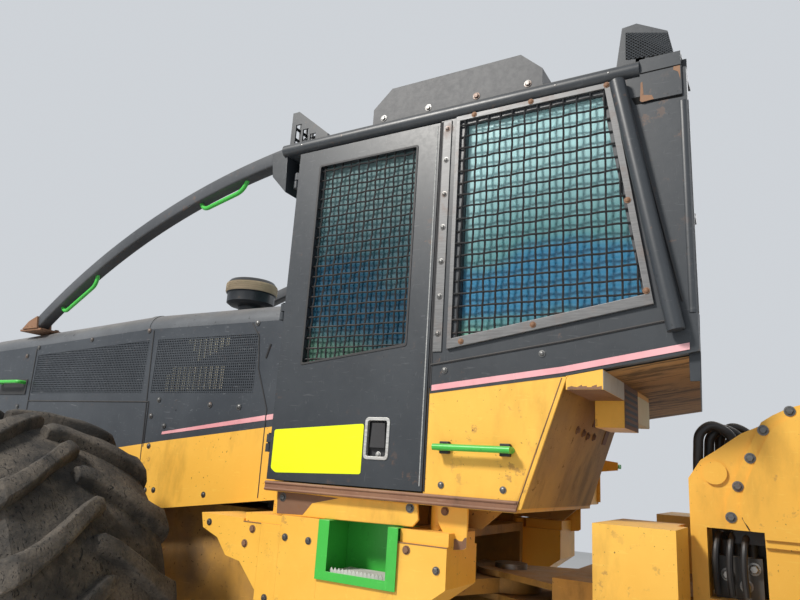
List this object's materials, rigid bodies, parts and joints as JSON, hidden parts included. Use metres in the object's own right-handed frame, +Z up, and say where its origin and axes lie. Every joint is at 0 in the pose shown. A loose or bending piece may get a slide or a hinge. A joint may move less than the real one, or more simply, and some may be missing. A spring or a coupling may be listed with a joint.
{
  "type": "cable skidder",
  "caption": "Articulated four-wheel log skidder with a guarded cab, a hinged dozer blade, a rope winch and a rear fairlead arch.",
  "frame": {"origin": "on the ground, under the middle of the overall length and width", "axes": "+X forward along the length, +Y to the machine's left, +Z up"},
  "size_m": [7.1, 3.3, 3.37],
  "materials": {
    "yellow_paint": "satin",
    "black_paint": "satin",
    "grey_paint": "matte",
    "green_paint": "satin",
    "bare_steel": "satin",
    "tyre_rubber": "matte",
    "window_glass": "gloss",
    "seat_cover": "matte"
  },
  "bodies": {
    "front": {"front_chassis": "yellow_paint", "cab_subframe": "yellow_paint", "front_axle": "yellow_paint", "engine": "grey_paint", "hood_top": "black_paint", "hood_sides": "black_paint", "radiator_grille": "black_paint", "cab_tub": "yellow_paint", "deck_boxes": "grey_paint", "cab_side_left": "black_paint", "cab_side_right": "black_paint", "cab_front": "black_paint", "cab_rear": "black_paint", "cab_roof": "black_paint", "roof_box": "black_paint", "window_guards": "bare_steel", "guard_wires": "bare_steel", "cab_glass": "window_glass", "seat": "seat_cover", "console": "grey_paint", "sweeps": "black_paint", "lamp_guards": "black_paint", "lamps": "bare_steel", "pre_cleaner": "black_paint", "exhaust": "grey_paint", "steps": "yellow_paint", "grab_rails": "green_paint"},
    "rear": {"rear_chassis": "yellow_paint", "hitch_pins": "bare_steel", "rear_axle": "yellow_paint", "tank": "yellow_paint", "winch_housing": "yellow_paint", "valve_block": "grey_paint", "fairlead_arch": "yellow_paint"},
    "drum": {"winch_drum": "bare_steel"},
    "fair_low": {"roller_low": "bare_steel"},
    "fair_left": {"roller_left": "bare_steel"},
    "fair_right": {"roller_right": "bare_steel"},
    "dozer": {"blade": "yellow_paint", "blade_arms": "yellow_paint"},
    "lift_barrels": {"blade_barrels": "black_paint"},
    "lift_rods": {"blade_rods": "bare_steel"},
    "steer_left_barrel": {"steer_barrel_left": "black_paint"},
    "steer_right_barrel": {"steer_barrel_right": "black_paint"},
    "steer_left_rod": {"steer_rod_left": "bare_steel"},
    "steer_right_rod": {"steer_rod_right": "bare_steel"},
    "wheel_front_left": {"tyre_front_left": "tyre_rubber", "rim_front_left": "yellow_paint"},
    "wheel_front_right": {"tyre_front_right": "tyre_rubber", "rim_front_right": "yellow_paint"},
    "wheel_rear_left": {"tyre_rear_left": "tyre_rubber", "rim_rear_left": "yellow_paint"},
    "wheel_rear_right": {"tyre_rear_right": "tyre_rubber", "rim_rear_right": "yellow_paint"},
    "door_left_leaf": {"door_left": "black_paint", "door_guard_left": "bare_steel", "door_glass_left": "window_glass"},
    "door_right_leaf": {"door_right": "black_paint", "door_guard_right": "bare_steel", "door_glass_right": "window_glass"}
  },
  "joints": [
    {"name": "articulation", "type": "hinge", "parent": "front", "child": "rear", "pos_m": [-0.45, 0, 0.9], "axis": [0, 0, 1], "range_deg": [-40, 40]},
    {"name": "blade_lift", "type": "hinge", "parent": "front", "child": "dozer", "pos_m": [1.85, 0, 0.7], "axis": [0, -1, 0], "range_deg": [-8, 28]},
    {"name": "lift_barrel_turn", "type": "hinge", "parent": "front", "child": "lift_barrels", "pos_m": [2.2, 0, 1.4], "axis": [0, -1, 0], "range_deg": [-0.8, 1.6]},
    {"name": "lift_rod_slide", "type": "slide", "parent": "lift_barrels", "child": "lift_rods", "axis": [0.1322, 0, -0.9912], "range_m": [-0.22, 0.065]},
    {"name": "steer_barrel_left_turn", "type": "hinge", "parent": "front", "child": "steer_left_barrel", "pos_m": [0.45, 0.23, 0.93], "axis": [0, 0, 1], "range_deg": [-4.9, 4.9]},
    {"name": "steer_rod_left_slide", "type": "slide", "parent": "steer_left_barrel", "child": "steer_left_rod", "axis": [-1, 0, 0], "range_m": [-0.155, 0.155]},
    {"name": "steer_barrel_right_turn", "type": "hinge", "parent": "front", "child": "steer_right_barrel", "pos_m": [0.45, -0.23, 0.93], "axis": [0, 0, 1], "range_deg": [-4.9, 4.9]},
    {"name": "steer_rod_right_slide", "type": "slide", "parent": "steer_right_barrel", "child": "steer_right_rod", "axis": [-1, 0, 0], "range_m": [-0.155, 0.155]},
    {"name": "wheel_front_left_spin", "type": "hinge", "parent": "front", "child": "wheel_front_left", "pos_m": [1.5, 1.2625, 0.915], "axis": [0, 1, 0], "continuous": true},
    {"name": "wheel_front_right_spin", "type": "hinge", "parent": "front", "child": "wheel_front_right", "pos_m": [1.5, -1.2625, 0.915], "axis": [0, 1, 0], "continuous": true},
    {"name": "wheel_rear_left_spin", "type": "hinge", "parent": "rear", "child": "wheel_rear_left", "pos_m": [-2.4, 1.2625, 0.915], "axis": [0, 1, 0], "continuous": true},
    {"name": "wheel_rear_right_spin", "type": "hinge", "parent": "rear", "child": "wheel_rear_right", "pos_m": [-2.4, -1.2625, 0.915], "axis": [0, 1, 0], "continuous": true},
    {"name": "drum_spin", "type": "hinge", "parent": "rear", "child": "drum", "pos_m": [-1.77, 0, 1.61], "axis": [0, 1, 0], "continuous": true},
    {"name": "roller_low_spin", "type": "hinge", "parent": "rear", "child": "fair_low", "pos_m": [-3.37, 0, 2], "axis": [0, 1, 0], "continuous": true},
    {"name": "roller_left_spin", "type": "hinge", "parent": "rear", "child": "fair_left", "pos_m": [-3.39, 0.14, 2.15], "axis": [0, 0, 1], "continuous": true},
    {"name": "roller_right_spin", "type": "hinge", "parent": "rear", "child": "fair_right", "pos_m": [-3.39, -0.14, 2.15], "axis": [0, 0, 1], "continuous": true},
    {"name": "door_left_swing", "type": "hinge", "parent": "front", "child": "door_left_leaf", "pos_m": [0.364, 0.785, 2.3], "axis": [0, 0, -1], "range_deg": [0, 100]},
    {"name": "door_right_swing", "type": "hinge", "parent": "front", "child": "door_right_leaf", "pos_m": [0.364, -0.785, 2.3], "axis": [0, 0, 1], "range_deg": [0, 100]}
  ],
  "couplings": [
    {"joint": "lift_barrel_turn", "follows": "blade_lift", "ratio": 0.03716},
    {"joint": "lift_rod_slide", "follows": "blade_lift", "m_per_rad": -0.44468},
    {"joint": "steer_barrel_left_turn", "follows": "articulation", "ratio": 0.11035},
    {"joint": "steer_rod_left_slide", "follows": "articulation", "m_per_rad": 0.21726},
    {"joint": "steer_barrel_right_turn", "follows": "articulation", "ratio": 0.11035},
    {"joint": "steer_rod_right_slide", "follows": "articulation", "m_per_rad": -0.21726}
  ]
}
